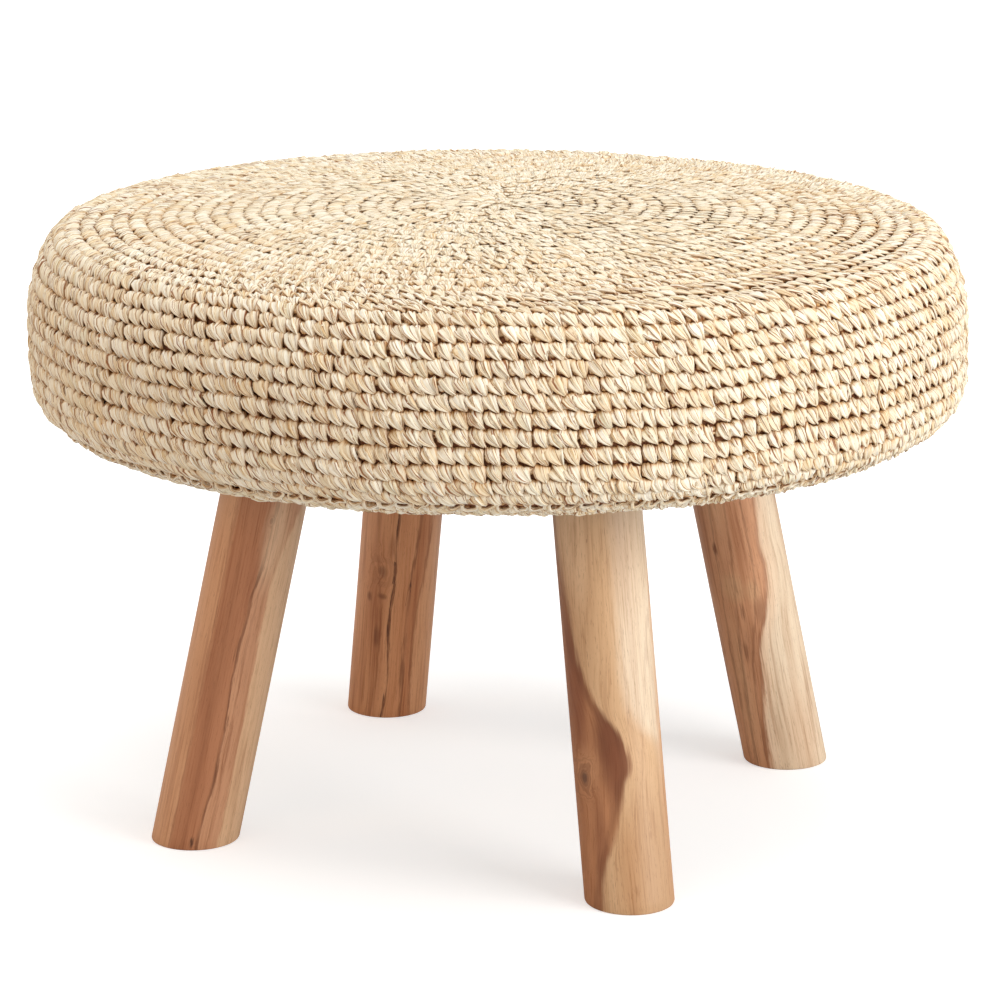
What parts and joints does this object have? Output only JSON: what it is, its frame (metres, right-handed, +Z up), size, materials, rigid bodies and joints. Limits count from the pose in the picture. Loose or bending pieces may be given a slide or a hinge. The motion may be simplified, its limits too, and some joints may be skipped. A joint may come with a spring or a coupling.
{
  "type": "round padded stool",
  "caption": "Low round stool: crocheted raffia cover over a crowned foam pad on a plywood disc, carried by splayed round teak legs on angled steel plates.",
  "frame": {"origin": "on the floor, under the middle of the seat", "axes": "+Z up; -Y is the front, between the two front legs, which stand at 45 degrees to the X and Y axes like the two back legs"},
  "size_m": [0.6, 0.6, 0.397],
  "materials": {
    "raffia": "natural crocheted raffia, dry and matte, with fine fibres",
    "lining": "unbleached plain cotton",
    "wadding": "white polyester wadding",
    "foam": "cut upholstery foam",
    "plywood": "raw plywood",
    "dust_cloth": "thin black non-woven cloth",
    "teak": "smooth sanded teak with a light clear oil, brown heartwood and pale sapwood",
    "zinc_steel": "zinc-plated pressed steel",
    "yellow_zinc": "yellow zinc-plated steel",
    "staple_wire": "galvanised staple wire"
  },
  "bodies": {
    "root": {"raffia_cover": "raffia", "lining": "lining", "wadding": "wadding", "foam_pad": "foam", "seat_board": "plywood", "dust_cover": "dust_cloth", "leg_front_right": "teak", "leg_plate_front_right": "zinc_steel", "hanger_bolt_front_right": "zinc_steel", "plate_screw_front_right_1": "yellow_zinc", "plate_screw_front_right_2": "yellow_zinc", "plate_screw_front_right_3": "yellow_zinc", "plate_screw_front_right_4": "yellow_zinc", "leg_back_right": "teak", "leg_plate_back_right": "zinc_steel", "hanger_bolt_back_right": "zinc_steel", "plate_screw_back_right_1": "yellow_zinc", "plate_screw_back_right_2": "yellow_zinc", "plate_screw_back_right_3": "yellow_zinc", "plate_screw_back_right_4": "yellow_zinc", "leg_back_left": "teak", "leg_plate_back_left": "zinc_steel", "hanger_bolt_back_left": "zinc_steel", "plate_screw_back_left_1": "yellow_zinc", "plate_screw_back_left_2": "yellow_zinc", "plate_screw_back_left_3": "yellow_zinc", "plate_screw_back_left_4": "yellow_zinc", "leg_front_left": "teak", "leg_plate_front_left": "zinc_steel", "hanger_bolt_front_left": "zinc_steel", "plate_screw_front_left_1": "yellow_zinc", "plate_screw_front_left_2": "yellow_zinc", "plate_screw_front_left_3": "yellow_zinc", "plate_screw_front_left_4": "yellow_zinc", "staple_01": "staple_wire", "staple_02": "staple_wire", "staple_03": "staple_wire", "staple_04": "staple_wire", "staple_05": "staple_wire", "staple_06": "staple_wire", "staple_07": "staple_wire", "staple_08": "staple_wire", "staple_09": "staple_wire", "staple_10": "staple_wire", "staple_11": "staple_wire", "staple_12": "staple_wire", "staple_13": "staple_wire", "staple_14": "staple_wire", "staple_15": "staple_wire", "staple_16": "staple_wire"}
  },
  "joints": []
}
